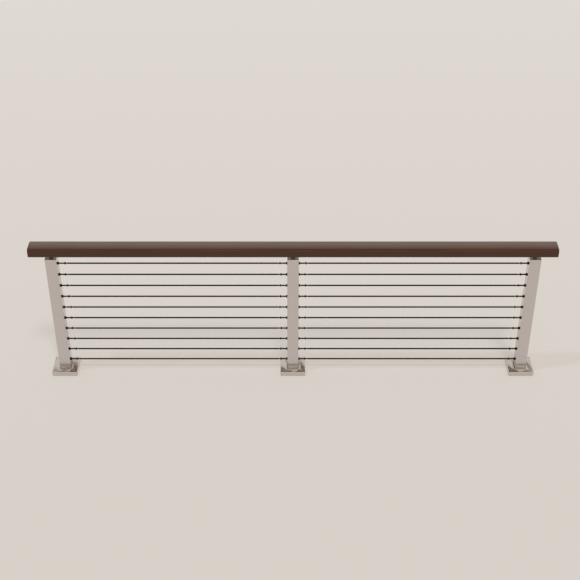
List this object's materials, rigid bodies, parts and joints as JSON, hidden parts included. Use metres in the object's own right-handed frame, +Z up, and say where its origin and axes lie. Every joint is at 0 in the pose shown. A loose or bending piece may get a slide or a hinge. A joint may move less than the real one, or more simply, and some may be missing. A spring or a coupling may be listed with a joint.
{
  "type": "deck railing section",
  "caption": "Straight deck railing section with square steel posts on covered base plates, a rounded dark timber top rail and taut dark cables between the posts.",
  "frame": {"origin": "centre of the middle base plate's underside, on the deck surface", "axes": "+X along the rail, +Y from the front to the back, +Z up"},
  "size_m": [3.056, 0.152, 0.9158],
  "materials": {
    "satin_steel": "satin stainless",
    "dark_timber": "dark oiled hardwood",
    "black_fittings": "black oxide",
    "cable_jacket": "black vinyl jacket"
  },
  "bodies": {
    "root": {"top_rail": "dark_timber", "left_post": "satin_steel", "left_post_cap": "satin_steel", "left_rail_bracket": "black_fittings", "left_base_plate": "satin_steel", "left_base_cover": "satin_steel", "middle_post": "satin_steel", "middle_post_cap": "satin_steel", "middle_rail_bracket": "black_fittings", "middle_base_plate": "satin_steel", "middle_base_cover": "satin_steel", "right_post": "satin_steel", "right_post_cap": "satin_steel", "right_rail_bracket": "black_fittings", "right_base_plate": "satin_steel", "right_base_cover": "satin_steel", "left_post_tension_studs": "black_fittings", "middle_post_left_tension_studs": "black_fittings", "middle_post_right_tension_studs": "black_fittings", "right_post_tension_studs": "black_fittings", "left_cable_01": "cable_jacket", "left_cable_02": "cable_jacket", "left_cable_03": "cable_jacket", "left_cable_04": "cable_jacket", "left_cable_05": "cable_jacket", "left_cable_06": "cable_jacket", "left_cable_07": "cable_jacket", "left_cable_08": "cable_jacket", "left_cable_09": "cable_jacket", "left_cable_10": "cable_jacket", "right_cable_01": "cable_jacket", "right_cable_02": "cable_jacket", "right_cable_03": "cable_jacket", "right_cable_04": "cable_jacket", "right_cable_05": "cable_jacket", "right_cable_06": "cable_jacket", "right_cable_07": "cable_jacket", "right_cable_08": "cable_jacket", "right_cable_09": "cable_jacket", "right_cable_10": "cable_jacket"}
  },
  "joints": []
}
